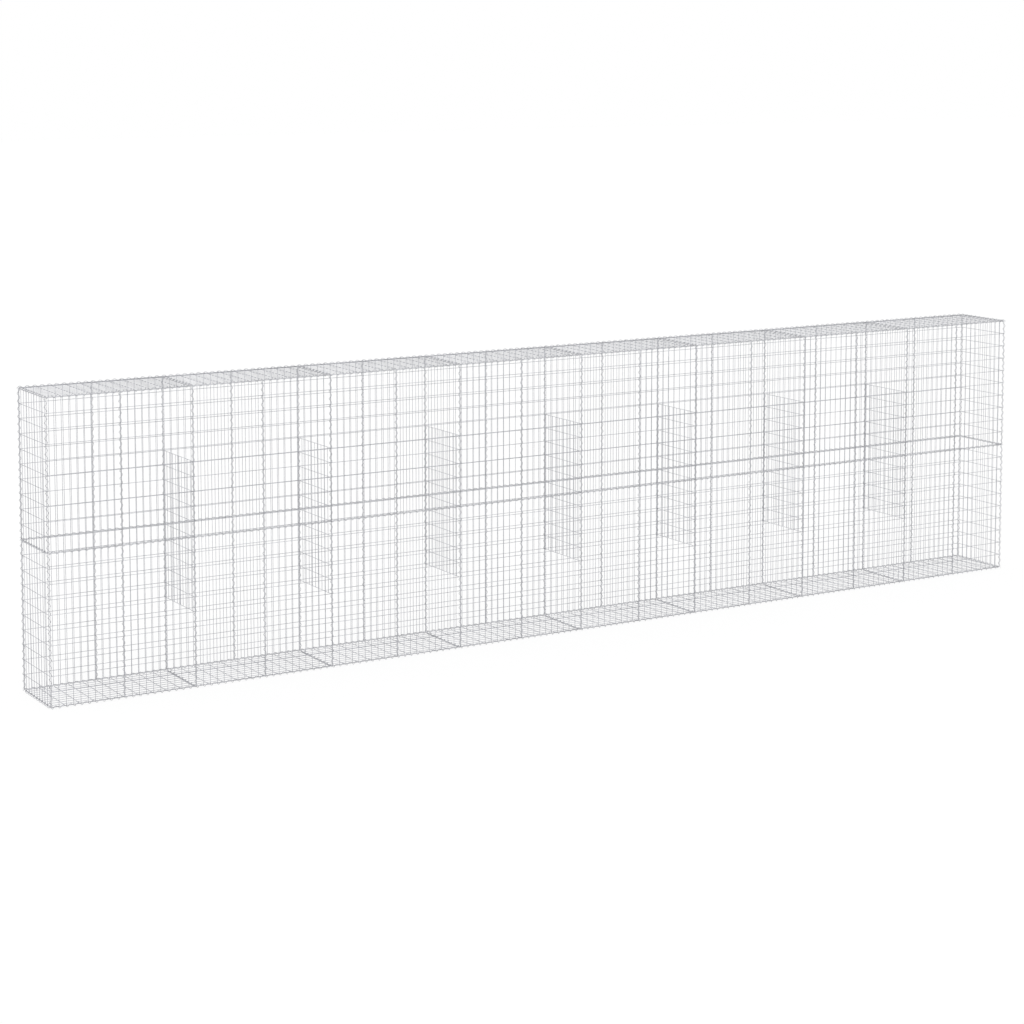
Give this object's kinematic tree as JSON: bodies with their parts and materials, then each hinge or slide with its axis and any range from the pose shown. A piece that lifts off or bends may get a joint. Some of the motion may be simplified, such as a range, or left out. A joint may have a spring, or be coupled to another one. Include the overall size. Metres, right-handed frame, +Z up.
{
  "type": "gabion wall basket",
  "caption": "Empty welded wire gabion wall: mesh panels on both faces, ends and base, partitions inside, and covers on top, all laced together with spirals",
  "frame": {"origin": "bottom centre of the bounding box, on the plane the wall stands on", "axes": "+X along the wall's length, +Y through its depth from the front face to the back face, +Z up"},
  "size_m": [8.017, 0.517, 2.017],
  "materials": {
    "mesh_wire": "hot-dip galvanised, light grey, dull",
    "spiral_wire": "hot-dip galvanised, a shade darker than the mesh"
  },
  "bodies": {
    "root": {"front_bay_1": "mesh_wire", "front_bay_2": "mesh_wire", "front_bay_3": "mesh_wire", "front_bay_4": "mesh_wire", "front_bay_5": "mesh_wire", "front_bay_6": "mesh_wire", "front_bay_7": "mesh_wire", "front_bay_8": "mesh_wire", "back_bay_1": "mesh_wire", "back_bay_2": "mesh_wire", "back_bay_3": "mesh_wire", "back_bay_4": "mesh_wire", "back_bay_5": "mesh_wire", "back_bay_6": "mesh_wire", "back_bay_7": "mesh_wire", "back_bay_8": "mesh_wire", "end_left": "mesh_wire", "end_right": "mesh_wire", "base_panels": "mesh_wire", "cover_panels": "mesh_wire", "partitions": "mesh_wire", "front_upright_spirals": "spiral_wire", "back_upright_spirals": "spiral_wire", "front_long_spirals": "spiral_wire", "back_long_spirals": "spiral_wire", "end_spirals": "spiral_wire", "base_cross_spirals": "spiral_wire", "cover_cross_spirals": "spiral_wire"}
  },
  "joints": []
}
